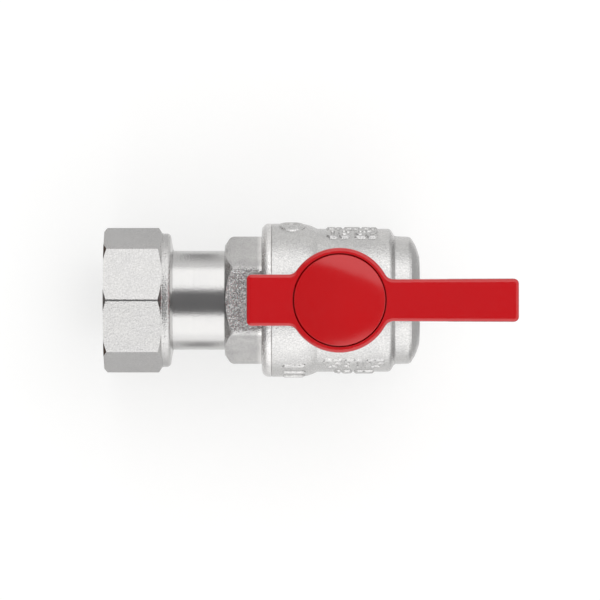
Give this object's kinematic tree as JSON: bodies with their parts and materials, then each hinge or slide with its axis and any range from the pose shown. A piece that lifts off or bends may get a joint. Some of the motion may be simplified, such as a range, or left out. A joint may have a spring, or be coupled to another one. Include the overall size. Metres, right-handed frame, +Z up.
{
  "type": "isolating ball valve",
  "caption": "Nickel-plated ball valve with a threaded pipe socket at one end, a captive eight-sided union nut on a neck at the other, and a red lever handle on its stem.",
  "frame": {"origin": "centre of the pipe socket's mouth", "axes": "+X leaves the socket along the pipe axis, +Z runs up the stem to the handle"},
  "size_m": [0.1594, 0.0594, 0.0797],
  "materials": {
    "plated_forging": "sand-blasted forging, nickel-plated",
    "plated_nut": "forged nut, nickel-plated",
    "chromed_ball": "polished, chromium-plated",
    "turned_brass": "turned, unplated",
    "spring_wire": "spring steel",
    "zinc_steel": "zinc-plated",
    "seal_rubber": "moulded rubber",
    "gasket_rubber": "stamped rubber sheet",
    "seat_plastic": "turned PTFE",
    "red_plastic": "moulded, glossy"
  },
  "bodies": {
    "valve": {"valve_body": "plated_forging", "end_connector": "plated_forging", "connector_o_ring": "seal_rubber", "inlet_seat": "seat_plastic", "outlet_seat": "seat_plastic", "union_gasket": "gasket_rubber"},
    "ring": {"snap_ring": "spring_wire"},
    "nut": {"union_nut": "plated_nut"},
    "lever": {"handle": "red_plastic", "handle_cap": "red_plastic", "handle_screw": "zinc_steel", "screw_washer": "zinc_steel", "stem": "turned_brass", "stem_washer": "seat_plastic", "lower_o_ring": "seal_rubber", "upper_o_ring": "seal_rubber", "ball": "chromed_ball"}
  },
  "joints": [
    {"name": "handle_turn", "type": "hinge", "parent": "valve", "child": "lever", "pos_m": [-0.0311, 0, 0], "axis": [0, 0, 1], "range_deg": [-90, 0]},
    {"name": "nut_turn", "type": "hinge", "parent": "valve", "child": "ring", "pos_m": [-0.1021, 0, 0], "axis": [1, 0, 0], "continuous": true},
    {"name": "nut_slide", "type": "slide", "parent": "ring", "child": "nut", "axis": [1, 0, 0], "range_m": [0, 0.02]}
  ]
}
